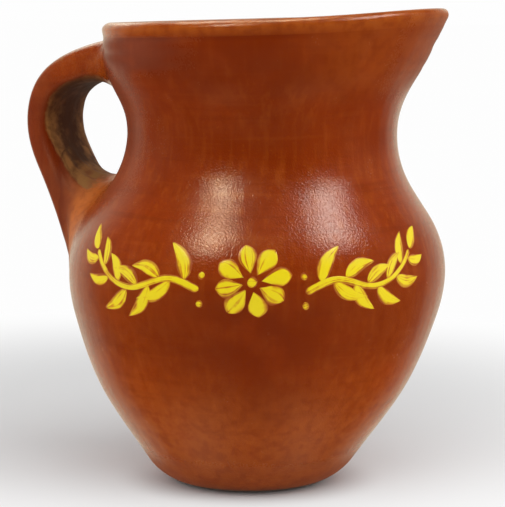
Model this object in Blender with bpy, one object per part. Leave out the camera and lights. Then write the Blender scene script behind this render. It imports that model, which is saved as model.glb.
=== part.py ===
"""Hand-built clay water jug: a floor disc, three wall rings luted end to end, a rolled rim
bead, and a pulled strap handle held by a collar of luting clay at each end.

Frame: origin at the middle of the foot, +Z up, the pouring lip towards +X and the handle
towards -X. The profile, the lean and the lip are functions, so every piece follows the
same wall. Dimensions below are in millimetres; the scene is in metres.
"""

import bpy
import bmesh
import numpy as np

MM = 0.001

# ---- driving dimensions -------------------------------------------------------------
HEIGHT = 171.5          # foot to rim, before the lip lifts it
FOOT_R = 32.5           # wall line run down to the table
FOOT_EDGE = 8.5         # rounding of the foot, which leaves a flat of 24 radius
HEEL_R = 43.6           # radius 16 up
FLANK_R = 55.7          # radius 34 up
LOWER_BELLY_R = 65.0    # radius 56 up
BELLY_R = 69.6          # widest, 78 up
SHOULDER_R = 64.3       # radius 97 up
COLLAR_R = 54.4         # radius 112 up, where shoulder turns into neck
NECK_R = 49.7           # narrowest, 126 up
THROAT_R = 51.5         # radius 140 up
FLARE_R = 56.5          # radius 150 up
UPPER_FLARE_R = 58.8    # radius 157 up
BAND_R = 59.25          # radius 164 up, below the rim bead
RIM_R = 59.2            # radius at the rim
LEAN = 0.039            # sideways run of the whole wall towards the lip, per unit of height
RIM_TILT = 1.9          # rise of the rim at the lip side, and its fall at the handle side
LIP_OUT = 10.0          # reach of the pouring lip beyond the round rim
LIP_HALF_ANGLE = 0.615  # radians
LIP_FROM = 144.0        # height at which the lip starts
LIP_RISE = 2.2          # extra rise of the lip's tip

WALL_FOOT = 7.0         # wall thickness at the heel
WALL = 5.5              # wall thickness of belly and neck
RIM_ROUND = 2.6         # rounding of both edges of the rim
BEAD_OUT = 0.5          # swelling of the rim bead

FLOOR = 7.0             # thickness of the floor disc under the wall
FLOOR_STEP = 2.0        # raised middle of the floor, which centres the wall ring
JOINT_BELLY = 62.0      # outer height of the joint between lower belly and shoulder
JOINT_NECK = 124.0      # outer height of the joint between shoulder and neck
JOINT_RIM = 166.0       # outer height of the joint between neck and rim bead
SCARF = 4.5             # fall of each bevelled joint from the outside to the inside
SLIP = 0.3              # clearance between neighbours, the layer of slip
SLIP_SLOPED = 0.42      # the same measured upwards on the bevelled joints
SLIP_COLLAR = 0.7      # the same under the collars, whose facets span the curved wall

STRAP_WIDTH = (32.0, 31.0, 31.5, 34.0, 38.0)
STRAP_THICK = (15.5, 12.4, 11.2, 11.0, 7.0)
STRAP_POWER = 3.4       # squareness of the strap's rounded section
# centre line of the strap in the plane of the lip and the handle: (x, z)
STRAP_LINE = ((-50.0, 156.8), (-67.7, 153.1), (-80.4, 145.0), (-84.0, 129.0),
              (-77.7, 113.0), (-71.0, 98.5), (-64.9, 78.0))
UPPER_REACH = 17.0, 12.0, 4.0   # spread of the upper collar under, beside and above the strap
LOWER_REACH = 33.0, 26.0, 14.0  # spread of the lower collar in the crotch, beside and below it
FEATHER = 0.8           # thickness of a collar at its thin edges

AROUND = 48             # facets round the body
STRAP_AROUND = 40       # facets round the strap


# ---- shape functions ----------------------------------------------------------------
def spline(xs, ys):
    """Natural cubic through the stations; the returned function takes a derivative order."""
    xs, ys = np.asarray(xs, float), np.asarray(ys, float)
    n, h = len(xs), np.diff(xs)
    a, b = np.eye(n), np.zeros(ys.shape)
    for i in range(1, n - 1):
        a[i, i - 1:i + 2] = h[i - 1], 2 * (h[i - 1] + h[i]), h[i]
        b[i] = 6 * ((ys[i + 1] - ys[i]) / h[i] - (ys[i] - ys[i - 1]) / h[i - 1])
    m = np.linalg.solve(a, b)

    def value(x, order=0):
        x = np.asarray(x, float)
        i = np.clip(np.searchsorted(xs, x) - 1, 0, n - 2)
        s, p, q = h[i], (xs[i + 1] - x) / h[i], (x - xs[i]) / h[i]
        if ys.ndim > 1:
            s, p, q = s[..., None], p[..., None], q[..., None]
        if order:
            return (ys[i + 1] - ys[i]) / s + ((1 - 3 * p * p) * m[i] + (3 * q * q - 1) * m[i + 1]) * s / 6
        return p * ys[i] + q * ys[i + 1] + ((p ** 3 - p) * m[i] + (q ** 3 - q) * m[i + 1]) * s * s / 6

    return value


PROFILE = spline(
    (0, 16, 34, 56, 78, 97, 112, 126, 140, 150, 157, 164, HEIGHT),
    (FOOT_R, HEEL_R, FLANK_R, LOWER_BELLY_R, BELLY_R, SHOULDER_R, COLLAR_R, NECK_R, THROAT_R, FLARE_R,
     UPPER_FLARE_R, BAND_R, RIM_R))


def rounding(depth, r):
    """How far a quarter-round of radius r stands back at a depth below its edge."""
    q = np.clip(1 - depth / r, 0, 1)
    return r * (1 - np.sqrt(1 - q * q))


def outer_radius(z):
    bead = BEAD_OUT * np.exp(-((z - (HEIGHT - 2.6)) / 1.8) ** 2)
    return PROFILE(z) + bead - rounding(z, FOOT_EDGE) - rounding(HEIGHT - z, RIM_ROUND)


def wall_thickness(z):
    t = np.clip((z - 8) / 26, 0, 1)
    return WALL_FOOT + (WALL - WALL_FOOT) * t * t * (3 - 2 * t)


def place(angle, radius, z, station):
    """A point of the leaning wall; station is the height whose lip and tilt it follows."""
    turn = (angle + np.pi) % (2 * np.pi) - np.pi
    lip = np.exp(-(np.abs(turn) / LIP_HALF_ANGLE) ** 2)
    out = np.clip((station - LIP_FROM) / (HEIGHT - LIP_FROM), 0, 1) ** 1.65
    up = np.clip((station - 100) / (HEIGHT - 100), 0, 1) ** 1.5
    r = radius + LIP_OUT * lip * out
    return np.stack(np.broadcast_arrays(
        r * np.cos(angle) + LEAN * z, r * np.sin(angle), z + up * (RIM_TILT * np.cos(angle) + LIP_RISE * lip)), -1)


ANGLES = np.arange(AROUND) * 2 * np.pi / AROUND


def outer_ring(z):
    return place(ANGLES, outer_radius(z), z, z)


def inner_ring(z):
    """The inside of the wall, square to the outer profile at height z."""
    slope = PROFILE(z, 1)
    n = np.hypot(1, slope)
    t = wall_thickness(z)
    return place(ANGLES, PROFILE(z) - t / n + rounding(HEIGHT - z, RIM_ROUND), z + t * slope / n * (z < 160), z)


def wall_distance(p):
    """Distance from the outer wall on the handle side, positive outside."""
    x, y, z = p[..., 0], p[..., 1], p[..., 2]
    up = np.clip((z - 100) / (HEIGHT - 100), 0, 1) ** 1.5
    z = np.clip(z + up * RIM_TILT, 0, HEIGHT - RIM_ROUND)
    return (np.hypot(x - LEAN * z, y) - outer_radius(z)) / np.hypot(1, PROFILE(z, 1))


def wall_normal(p):
    e = 0.05
    g = np.stack([wall_distance(p + e * a) - wall_distance(p - e * a) for a in np.eye(3)], -1)
    return g / np.linalg.norm(g, axis=-1, keepdims=True)


def to_wall(p, away):
    """Moves points along the wall's normal to a distance away from it."""
    for _ in range(4):
        p = p - wall_normal(p) * (wall_distance(p) - away)[..., None]
    return p


line = np.array(STRAP_LINE)
length = np.concatenate([[0], np.cumsum(np.hypot(*np.diff(line, axis=0).T))])
STRAP_LENGTH = length[-1]
STRAP = spline(length / STRAP_LENGTH, line)
WIDTH = spline(np.linspace(0, 1, len(STRAP_WIDTH)), STRAP_WIDTH)
THICK = spline(np.linspace(0, 1, len(STRAP_THICK)), STRAP_THICK)
ROUND = np.arange(STRAP_AROUND) * 2 * np.pi / STRAP_AROUND
ACROSS = np.sign(np.cos(ROUND)) * np.abs(np.cos(ROUND)) ** (2 / STRAP_POWER)   # 1 faces the jug
SIDE = np.sign(np.sin(ROUND)) * np.abs(np.sin(ROUND)) ** (2 / STRAP_POWER)


def strap_ring(u, grow=0.0):
    """One loop round the strap; u may differ from point to point."""
    u = np.broadcast_to(np.asarray(u, float), ROUND.shape)
    c, d = STRAP(u), STRAP(u, 1)
    d = d / np.linalg.norm(d, axis=-1, keepdims=True)
    t = ACROSS * (THICK(u) / 2 + grow)
    return np.stack([c[:, 0] - d[:, 1] * t, SIDE * (WIDTH(u) / 2 + grow), c[:, 1] + d[:, 0] * t], -1)


def strap_ends(grow, away):
    """Where each line along the strap comes within a distance of the wall: (upper, lower)."""
    us = np.linspace(0, 1, 401)
    near = np.array([wall_distance(strap_ring(u, grow)) for u in us]) - away
    found = []
    for step in (-1, 1):
        ends = np.full(STRAP_AROUND, us[0 if step < 0 else -1])
        for j in range(STRAP_AROUND):
            i = len(us) // 2
            while 0 < i < len(us) - 1 and near[i, j] > 0:
                i += step
            if near[i, j] <= 0:
                a, b = near[i - step, j], near[i, j]
                ends[j] = us[i - step] + (us[i] - us[i - step]) * a / (a - b)
        found.append(ends)
    return found


# ---- mesh building ------------------------------------------------------------------
def finish(name, bm, colour, roughness, smooth=35):
    bmesh.ops.recalc_face_normals(bm, faces=bm.faces[:])
    mesh = bpy.data.meshes.new(name)
    bm.to_mesh(mesh)
    bm.free()
    if mesh.polygons:
        mesh.shade_smooth()
        mesh.set_sharp_from_angle(angle=np.radians(smooth))
    material = bpy.data.materials.new(name + "_clay")
    material.use_nodes = True
    shader = material.node_tree.nodes["Principled BSDF"]
    shader.inputs["Base Color"].default_value = (*colour, 1.0)
    shader.inputs["Roughness"].default_value = roughness
    shader.inputs["Metallic"].default_value = 0.0
    mesh.materials.append(material)
    obj = bpy.data.objects.new(name, mesh)
    bpy.context.scene.collection.objects.link(obj)
    return obj


def loft(bm, rings, closed=False):
    """Quads between loops of equal count; closed joins the last loop to the first."""
    loops = [[bm.verts.new(p * MM) for p in ring] for ring in rings]
    for a, b in zip(loops, loops[1:] + loops[:1] if closed else loops[1:]):
        for i in range(len(a)):
            k = (i + 1) % len(a)
            bm.faces.new((a[i], a[k], b[k], b[i]))
    return loops


def wall_piece(name, outer, inner, colour, roughness):
    """A closed ring of wall from outer heights, bottom to top, and inner ones, top to bottom."""
    bm = bmesh.new()
    loft(bm, [outer_ring(z) for z in outer] + [inner_ring(z) for z in inner], closed=True)
    return finish(name, bm, colour, roughness)


def heights(low, high, rows):
    return np.linspace(low, high, rows)


for old in list(bpy.data.objects):
    bpy.data.objects.remove(old, do_unlink=True)

CLAY = (0.27, 0.065, 0.018)
CLAY_RIM = (0.33, 0.095, 0.028)
CLAY_FOOT = (0.36, 0.12, 0.045)
CLAY_STRAP = (0.25, 0.07, 0.02)

# floor disc: flat foot, rounded edge, flat seat for the wall and a raised middle
bm = bmesh.new()
foot = [FOOT_EDGE * (1 - np.cos(a)) for a in np.linspace(0, np.pi / 2, 5)]
rings = [outer_ring(z) for z in foot if z < FLOOR] + [outer_ring(FLOOR)]
step_r = PROFILE(FLOOR) - wall_thickness(FLOOR) / np.hypot(1, PROFILE(FLOOR, 1)) - 3.2
for r, z in ((step_r, FLOOR), (step_r - 0.8, FLOOR + FLOOR_STEP)):
    rings.append(place(ANGLES, r, z, z))
loops = loft(bm, rings)
bm.faces.new(loops[0])
bm.faces.new(loops[-1])
finish("base_disc", bm, CLAY_FOOT, 0.75)

# wall rings: each top edge falls inwards, so the next ring seats and centres on it
seat = FLOOR + SLIP
bm = bmesh.new()
inside = [inner_ring(z) for z in heights(JOINT_BELLY - SCARF, seat + 5.0, 7)]
toe = inside[-1].copy()     # the inside drops straight onto the floor disc
toe[:, 2] = seat
loft(bm, [outer_ring(z) for z in heights(seat, JOINT_BELLY, 8)] + inside + [toe], closed=True)
finish("lower_belly", bm, CLAY, 0.38)
wall_piece("shoulder",
           heights(JOINT_BELLY + SLIP_SLOPED, JOINT_NECK, 9),
           heights(JOINT_NECK - SCARF, JOINT_BELLY - SCARF + SLIP_SLOPED, 9), CLAY, 0.35)
wall_piece("neck",
           heights(JOINT_NECK + SLIP_SLOPED, JOINT_RIM, 9),
           heights(JOINT_RIM - SCARF, JOINT_NECK - SCARF + SLIP_SLOPED, 9), CLAY, 0.36)
crown = [HEIGHT - RIM_ROUND * (1 - np.sin(a)) for a in np.linspace(0, np.pi / 2, 5)]
wall_piece("rim_bead",
           [JOINT_RIM + SLIP_SLOPED, JOINT_RIM + 1.6] + crown,
           crown[::-1] + [JOINT_RIM + 0.5, JOINT_RIM - SCARF + SLIP_SLOPED], CLAY_RIM, 0.4)

# strap: both ends follow the wall at the thickness of the slip
upper, lower = strap_ends(0.0, SLIP)
bm = bmesh.new()
blend = np.linspace(0, 1, 23)
rings = [strap_ring(upper + (lower - upper) * b) for b in blend]


def end_cap(ring):
    """Loops that close a strap end over the curved wall."""
    middle = ring.mean(axis=0)
    return [to_wall(middle + (ring - middle) * s, SLIP) for s in (0.66, 0.33)], to_wall(middle[None], SLIP)[0]


first, tip_a = end_cap(rings[0])
last, tip_b = end_cap(rings[-1])
loops = loft(bm, first[::-1] + rings + last)
for loop, tip in ((loops[0], tip_a), (loops[-1], tip_b)):
    v = bm.verts.new(tip * MM)
    for i in range(len(loop)):
        bm.faces.new((loop[i], loop[(i + 1) % len(loop)], v))
finish("handle_strap", bm, CLAY_STRAP, 0.42)


def collar(name, end, crotch, beside, beyond):
    """Luting clay round one end of the strap, hollow-curved from the strap to the wall."""
    sign = 1 if end == 0 else -1
    hit = strap_ends(SLIP, SLIP)[end]
    hit_out = strap_ends(SLIP + FEATHER, SLIP + FEATHER)[end]
    reach = (beside + (crotch - beside) * np.clip(ACROSS, 0, 1) ** 1.5
             + (beyond - beside) * np.clip(-ACROSS, 0, 1) ** 1.5)
    reach *= 1 - 0.35 * np.clip(-ACROSS, 0, 1) * np.abs(SIDE)      # rounds off the smear's outer corners
    root = strap_ring(hit, SLIP)
    normal = wall_normal(root)
    along = np.roll(root, -1, axis=0) - np.roll(root, 1, axis=0)
    away = np.cross(normal, along)
    away /= np.linalg.norm(away, axis=-1, keepdims=True)
    if ((root - root.mean(axis=0)) * away).sum() < 0:
        away = -away
    start = np.clip(hit + sign * reach / STRAP_LENGTH, 0.02, 0.98)
    rings = [strap_ring(start + (hit - start) * b, SLIP) for b in np.linspace(0, 1, 5)]
    rings += [to_wall(root + away * (reach * b)[:, None], SLIP_COLLAR) for b in np.linspace(0.125, 1, 8)]
    a = strap_ring(start, SLIP + FEATHER)
    c = strap_ring(hit_out, SLIP + FEATHER)
    b = to_wall(root + away * reach[:, None], SLIP_COLLAR + FEATHER)
    ca, cb = a - c, b - c
    cosine = (ca * cb).sum(-1) / (np.linalg.norm(ca, axis=-1) * np.linalg.norm(cb, axis=-1))
    bend = np.sqrt(np.clip((1 - cosine) / 2, 0.05, 1))[:, None]     # makes the hollow a round arc
    for t in np.linspace(1, 0, 6):
        weights = (1 - t) ** 2, 2 * t * (1 - t) * bend, t * t
        rings.append((weights[0] * a + weights[1] * c + weights[2] * b) / sum(weights))
    bm = bmesh.new()
    loft(bm, rings, closed=True)
    finish(name, bm, CLAY_STRAP, 0.45)


collar("handle_upper_joint", 0, *UPPER_REACH)
collar("handle_lower_joint", 1, *LOWER_REACH)
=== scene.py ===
"""Looks of the clay water jug: burnished terracotta walls, a rolled rim, a pulled strap handle
with smeared luting clay, an unglazed foot, and a brush-painted yellow flower with leaf sprays.

Everything is laid out in millimetres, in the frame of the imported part, and scaled to metres
when a mesh is made. The wall, the strap and the collars repeat the part's own dimensions.
"""

import math

import bpy
import numpy as np
from mathutils import Matrix, Vector


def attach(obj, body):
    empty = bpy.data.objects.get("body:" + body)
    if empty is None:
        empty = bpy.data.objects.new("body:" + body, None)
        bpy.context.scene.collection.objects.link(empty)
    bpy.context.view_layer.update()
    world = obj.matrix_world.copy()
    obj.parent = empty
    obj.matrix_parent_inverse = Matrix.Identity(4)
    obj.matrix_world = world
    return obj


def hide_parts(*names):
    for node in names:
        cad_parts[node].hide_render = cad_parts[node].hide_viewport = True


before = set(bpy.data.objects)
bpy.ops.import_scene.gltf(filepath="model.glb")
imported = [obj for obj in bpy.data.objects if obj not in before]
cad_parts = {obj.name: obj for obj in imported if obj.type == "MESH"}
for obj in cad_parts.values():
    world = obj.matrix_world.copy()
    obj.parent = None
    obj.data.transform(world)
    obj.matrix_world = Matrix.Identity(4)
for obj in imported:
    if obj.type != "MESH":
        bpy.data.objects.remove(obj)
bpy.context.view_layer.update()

MM = 0.001

# ---- dimensions of the part ---------------------------------------------------------
HEIGHT = 171.5
FOOT_R, FOOT_EDGE = 32.5, 8.5
STATIONS = (0, 16, 34, 56, 78, 97, 112, 126, 140, 150, 157, 164, HEIGHT)
RADII = (FOOT_R, 43.6, 55.7, 65.0, 69.6, 64.3, 54.4, 49.7, 51.5, 56.5, 58.8, 59.25, 59.2)
LEAN = 0.039
RIM_TILT = 1.9
LIP_OUT, LIP_HALF_ANGLE, LIP_FROM, LIP_RISE = 10.0, 0.615, 144.0, 2.2
WALL_FOOT, WALL = 7.0, 5.5
RIM_ROUND, BEAD_OUT = 2.6, 0.5
FLOOR, FLOOR_STEP = 7.0, 2.0
JOINT_BELLY, JOINT_NECK, JOINT_RIM, SCARF = 62.0, 124.0, 166.0, 4.5
STRAP_WIDTH = (32.0, 31.0, 31.5, 34.0, 38.0)
STRAP_THICK = (15.5, 12.4, 11.2, 11.0, 7.0)
STRAP_POWER = 3.4
STRAP_LINE = ((-50.0, 156.8), (-67.7, 153.1), (-80.4, 145.0), (-84.0, 129.0),
              (-77.7, 113.0), (-71.0, 98.5), (-64.9, 78.0))
UPPER_REACH = 17.0, 12.0, 4.0
LOWER_REACH = 33.0, 26.0, 14.0

# ---- fineness of the meshes ---------------------------------------------------------
AROUND = 480            # points round the wall
ROW = 0.9               # spacing of rows up the outer wall
ROW_INSIDE = 1.7        # spacing of rows inside
STRAP_AROUND = 112
ANGLES = np.arange(AROUND) * 2 * np.pi / AROUND


# ---- shape functions ----------------------------------------------------------------
def spline(xs, ys):
    """Natural cubic through the stations; the returned function takes a derivative order."""
    xs, ys = np.asarray(xs, float), np.asarray(ys, float)
    n, h = len(xs), np.diff(xs)
    a, b = np.eye(n), np.zeros(ys.shape)
    for i in range(1, n - 1):
        a[i, i - 1:i + 2] = h[i - 1], 2 * (h[i - 1] + h[i]), h[i]
        b[i] = 6 * ((ys[i + 1] - ys[i]) / h[i] - (ys[i] - ys[i - 1]) / h[i - 1])
    m = np.linalg.solve(a, b)

    def value(x, order=0):
        x = np.asarray(x, float)
        i = np.clip(np.searchsorted(xs, x) - 1, 0, n - 2)
        s, p, q = h[i], (xs[i + 1] - x) / h[i], (x - xs[i]) / h[i]
        if ys.ndim > 1:
            s, p, q = s[..., None], p[..., None], q[..., None]
        if order:
            return (ys[i + 1] - ys[i]) / s + ((1 - 3 * p * p) * m[i] + (3 * q * q - 1) * m[i + 1]) * s / 6
        return p * ys[i] + q * ys[i + 1] + ((p ** 3 - p) * m[i] + (q ** 3 - q) * m[i + 1]) * s * s / 6

    return value


PROFILE = spline(STATIONS, RADII)


def uneven(angle, z, around, tall, seed):
    """Seeded smooth unevenness from -1 to 1: so many cells round the jug, each so many millimetres tall."""
    table = np.random.RandomState(seed).uniform(-1, 1, (64, around))
    a = (np.asarray(angle, float) / (2 * np.pi)) % 1 * around
    b = (np.asarray(z, float) + 60) / tall
    i, j = np.floor(a).astype(int), np.floor(b).astype(int)
    f, g = a - i, b - j
    f, g = (t ** 3 * (t * (6 * t - 15) + 10) for t in (f, g))
    low = table[j % 64, i % around] * (1 - f) + table[j % 64, (i + 1) % around] * f
    high = table[(j + 1) % 64, i % around] * (1 - f) + table[(j + 1) % 64, (i + 1) % around] * f
    return low * (1 - g) + high * g


def smooth(t):
    t = np.clip(t, 0, 1)
    return t * t * (3 - 2 * t)


def unit(v):
    return v / np.maximum(np.linalg.norm(v, axis=-1, keepdims=True), 1e-12)


def rounding(depth, r):
    q = np.clip(1 - depth / r, 0, 1)
    return r * (1 - np.sqrt(1 - q * q))


def outer_radius(z):
    bead = BEAD_OUT * np.exp(-((z - (HEIGHT - 2.6)) / 1.8) ** 2)
    groove = 0.07 * np.exp(-((z - (HEIGHT - 6.0)) / 1.5) ** 2)      # line left by rolling the rim
    return PROFILE(z) + bead - groove - rounding(z, FOOT_EDGE) - rounding(HEIGHT - z, RIM_ROUND)


def wall_thickness(z):
    t = np.clip((z - 8) / 26, 0, 1)
    return WALL_FOOT + (WALL - WALL_FOOT) * t * t * (3 - 2 * t)


def chips(angle, z):
    """Small knocks below the lip, from 0 to 1."""
    turn = (np.asarray(angle, float) + np.pi) % (2 * np.pi) - np.pi
    return sum(np.exp(-((turn - a) / 0.075) ** 2 - ((z - h) / tall) ** 2) * deep
               for a, h, tall, deep in ((0.36, 159.6, 1.2, 1.0), (0.43, 152.3, 1.0, 0.85), (0.33, 163.6, 0.8, 0.6)))


def hand(angle, z):
    """How far a wall shaped and burnished by hand strays from its even radius."""
    fade = smooth(z / 14)
    return -0.70 * chips(angle, z) + fade * (0.20 * uneven(angle, z, 7, 38, 11) + 0.10 * uneven(angle, z, 15, 19, 12)
                   + 0.030 * uneven(angle, z, 104, 24, 13)
                   + 0.022 * uneven(angle, z, 13, 2.7, 14))


def lip_at(angle):
    turn = (angle + np.pi) % (2 * np.pi) - np.pi
    return np.exp(-(np.abs(turn) / LIP_HALF_ANGLE) ** 2)


def lip_out(station):
    return LIP_OUT * np.clip((station - LIP_FROM) / (HEIGHT - LIP_FROM), 0, 1) ** 1.65


def lift(angle, station):
    """Rise of the wall's upper part towards the lip, with the slight waviness of the rim."""
    up = np.clip((station - 100) / (HEIGHT - 100), 0, 1) ** 1.5
    return up * (RIM_TILT * np.cos(angle) + LIP_RISE * lip_at(angle) + 0.28 * uneven(angle, 0, 9, 50, 15))


def place(angle, radius, z, station):
    """A point of the leaning wall; station is the height whose lip and tilt it follows."""
    r = radius + lip_at(angle) * lip_out(station)
    return np.stack(np.broadcast_arrays(
        r * np.cos(angle) + LEAN * z, r * np.sin(angle), z + lift(angle, station)), -1)


def outer(angle, z):
    full = 1.0 * lip_at(angle) * np.exp(-((z - (HEIGHT - 6.5)) / 4.0) ** 2)     # the lip is pressed fuller
    return place(angle, outer_radius(z) + full + hand(angle, z), z, z)


def inner(angle, z):
    """The inside of the wall, with a spiral of finger ridges that dies out under the rim."""
    slope = PROFILE(z, 1)
    n = np.hypot(1, slope)
    t = wall_thickness(z)
    fade = smooth((HEIGHT - 8 - z) / 22)
    ridge = fade * (0.16 * np.sin(2 * np.pi * z / 5.6 + angle + 0.7 * uneven(angle, z, 7, 30, 22))
                    + 0.10 * uneven(angle, z, 11, 3.4, 21)) + 0.15 * uneven(angle, z, 6, 40, 23)
    return place(angle, PROFILE(z) - t / n + rounding(HEIGHT - z, RIM_ROUND) + ridge,
                 z + t * slope / n * (1 - smooth((z - 150) / 10)), z)


def slip_and_painted_shade(angle, station):
    """How much darker the slip is painted: painted shade across the widest belly, strongest on its front under the
    painting, a darker run below the painting, painted shade on the neck and on the flare under the rim, and a painted
    shadow line under the bead; less on the wiped lip.
    """
    turn = (angle + np.pi) % (2 * np.pi) - np.pi
    band = 0.95 * (0.50 + 0.50 * np.exp(-((turn + 1.07) / 0.70) ** 2))
    ran = 0.85 * np.exp(-((turn + 1.07) / 0.40) ** 2) * smooth((station - 22) / 16) * (1 - smooth((station - 46) / 14))
    return (ran + band * smooth((station - 46) / 14) * smooth((90 - station) / 18) + 0.42 * smooth((station - 118) / 10)
            + 0.45 * smooth((station - 140) / 14) * smooth((HEIGHT - 1.5 - station) / 8) * (1 - lip_at(angle))
            + 0.75 * np.exp(-((station - (HEIGHT - 5.9)) / 0.8) ** 2) * smooth(0.75 + 0.6 * uneven(angle, 0, 23, 50, 51)) * (1 - 0.85 * smooth(lip_at(angle) / 0.3)))


def rubbed_smooth(station):
    """The neck is burnished smoother than the belly."""
    return smooth((station - 120) / 16) * (1 - smooth((station - (HEIGHT - 6)) / 2.5))


def scuffed(z):
    """The edge of the foot is rubbed dull by the surfaces the jug has stood on."""
    return 0.88 * (1 - smooth((z - 3.0) / 13.0))


def on_wall(p):
    """(angle, height on the profile) of the wall next to a point."""
    z = p[..., 2]
    for _ in range(4):
        angle = np.arctan2(p[..., 1], p[..., 0] - LEAN * z)
        z = np.clip(p[..., 2] - lift(angle, z), 0, HEIGHT - RIM_ROUND)
    return angle, z


def wall_distance(p):
    angle, z = on_wall(p)
    r = np.hypot(p[..., 0] - LEAN * z, p[..., 1]) - lip_at(angle) * lip_out(z)
    return (r - outer_radius(z) - hand(angle, z)) / np.hypot(1, PROFILE(z, 1))


def wall_normal(p):
    e = 0.05
    return unit(np.stack([wall_distance(p + e * a) - wall_distance(p - e * a) for a in np.eye(3)], -1))


def to_wall(p, away):
    for _ in range(5):
        p = p - wall_normal(p) * (wall_distance(p) - away)[..., None]
    return p


# ---- mesh building ------------------------------------------------------------------
def make(name, points, faces, sharp=40, floats=None, corners=None):
    """A closed mesh object from millimetre points; floats are per point, corners are UVs per face corner."""
    points = np.asarray(points, float)
    quads = np.array([f if len(f) == 4 else (*f, f[-1]) for f in faces])
    a, b, c, d = (points[quads[:, i]] for i in range(4))
    volume = (np.einsum("ij,ij->i", a, np.cross(b, c)) + np.einsum("ij,ij->i", a, np.cross(c, d))).sum()
    corners = {k: np.asarray(v, np.float32) for k, v in (corners or {}).items()}
    if volume < 0:
        faces = [f[::-1] for f in faces]
        corners = {k: v[:, ::-1] for k, v in corners.items()}
    mesh = bpy.data.meshes.new(name)
    mesh.from_pydata((points * MM).tolist(), [], faces)
    mesh.shade_smooth()
    mesh.set_sharp_from_angle(angle=math.radians(sharp))
    for key, values in (floats or {}).items():
        made = mesh.attributes.new(key, "FLOAT", "POINT")
        made.data.foreach_set("value", np.asarray(values, np.float32))
    for key, values in corners.items():
        mesh.uv_layers.new(name=key).uv.foreach_set("vector", np.ascontiguousarray(values).ravel())
    obj = bpy.data.objects.new(name, mesh)
    bpy.context.scene.collection.objects.link(obj)
    return obj


def loft(rings, closed, first=0):
    """Quads between loops of equal count, as index tuples."""
    n, k = len(rings[0]), len(rings)
    i = np.arange(n)
    j = (i + 1) % n
    faces = []
    for r in range(k if closed else k - 1):
        a, b = first + r * n, first + (r + 1) % k * n
        faces.append(np.stack([a + i, a + j, b + j, b + i], -1))
    return [tuple(f) for f in np.concatenate(faces).tolist()]


def rows_between(low, high, step, curve=None):
    """Heights from low to high, evenly spread along the wall's slope, with thin rows at both ends."""
    dense = np.linspace(low, high, 800)
    length = np.concatenate([[0], np.cumsum(np.hypot(np.diff(dense), np.diff(outer_radius(dense))))])
    count = max(int(length[-1] / step), 3)
    even = np.interp(np.linspace(0, length[-1], count + 1), length, dense)
    return np.concatenate([even[:1], [low + 0.06, low + 0.3], even[1:-1], [high - 0.3, high - 0.06], even[-1:]])


PIECES = []


def adopt(obj, node, material):
    obj.data.materials.append(material)
    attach(obj, "root")
    if node:
        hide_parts(node)
    PIECES.append(obj)
    return obj


# ---- procedural materials -----------------------------------------------------------
class Maker:
    """A material under construction: each call adds a node and returns its output socket."""

    def __init__(self, name):
        self.material = bpy.data.materials.new(name)
        self.material.use_nodes = True
        self.tree = self.material.node_tree
        self.shader = self.tree.nodes["Principled BSDF"]

    def node(self, kind, inputs=(), **settings):
        n = self.tree.nodes.new(kind)
        for key, value in settings.items():
            setattr(n, key, value)
        for key, value in dict(inputs).items():
            self.put(n.inputs[key], value)
        return n

    def put(self, socket, value):
        if isinstance(value, bpy.types.NodeSocket):
            self.tree.links.new(value, socket)
        else:
            socket.default_value = value

    def place(self, stretch=(1, 1, 1)):
        """Position on the jug in millimetres, stretched along the axes."""
        at = self.node("ShaderNodeTexCoord").outputs["Object"]
        scaled = self.node("ShaderNodeVectorMath", {0: at, 1: tuple(1000 * s for s in stretch)}, operation="MULTIPLY")
        return scaled.outputs[0]

    def noise(self, at, size, detail=2.0, roughness=0.5, distortion=0.0):
        n = self.node("ShaderNodeTexNoise", {"Vector": at, "Scale": 1 / size, "Detail": detail,
                                             "Roughness": roughness, "Distortion": distortion})
        return n.outputs[0]

    def ramp(self, value, low, high, to_low=0.0, to_high=1.0):
        n = self.node("ShaderNodeMapRange", {0: value, 1: low, 2: high, 3: to_low, 4: to_high},
                      interpolation_type="SMOOTHSTEP")
        return n.outputs[0]

    def math(self, operation, a, b=0.0, clamp=False):
        n = self.node("ShaderNodeMath", {0: a, 1: b}, operation=operation, use_clamp=clamp)
        return n.outputs[0]

    def mix(self, factor, a, b, blend="MIX"):
        n = self.node("ShaderNodeMix", data_type="RGBA", blend_type=blend)
        self.put(n.inputs[0], factor)
        for socket, value in ((n.inputs[6], a), (n.inputs[7], b)):
            self.put(socket, value if isinstance(value, bpy.types.NodeSocket) else (*value, 1.0))
        return n.outputs[2]

    def attribute(self, name):
        return self.node("ShaderNodeAttribute", attribute_name=name).outputs["Fac"]

    def bump(self, height, depth_mm, below=None):
        n = self.node("ShaderNodeBump", {"Height": height, "Distance": depth_mm * MM, "Strength": 1.0})
        if below is not None:
            self.put(n.inputs["Normal"], below)
        return n.outputs[0]


BASE = (0.250, 0.0300, 0.0018)      # burnished red slip
DARK_SLIP_AND_SHADE = (0.158, 0.0162, 0.0010)      # darker slip in the random mottle, and the colour of painted shade
PALE_CLAY_AND_SHEEN = (0.372, 0.080, 0.0080)      # where burnishing has worn it to the clay, and the colour of painted light and sheen on the belly
RAW = (0.32, 0.112, 0.034)          # unglazed clay
SOOT_AND_SHADE = (0.060, 0.0190, 0.0055)      # smoke-darkened clay under the handle, and painted shadow along the foot's bottom edge
DUST_AND_GLINT = (0.30, 0.130, 0.034)         # dry slip dust, and pale patches painted as highlight on the strap's top
SMEAR = (0.47, 0.112, 0.014)        # fresh luting clay, less burnished


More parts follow.
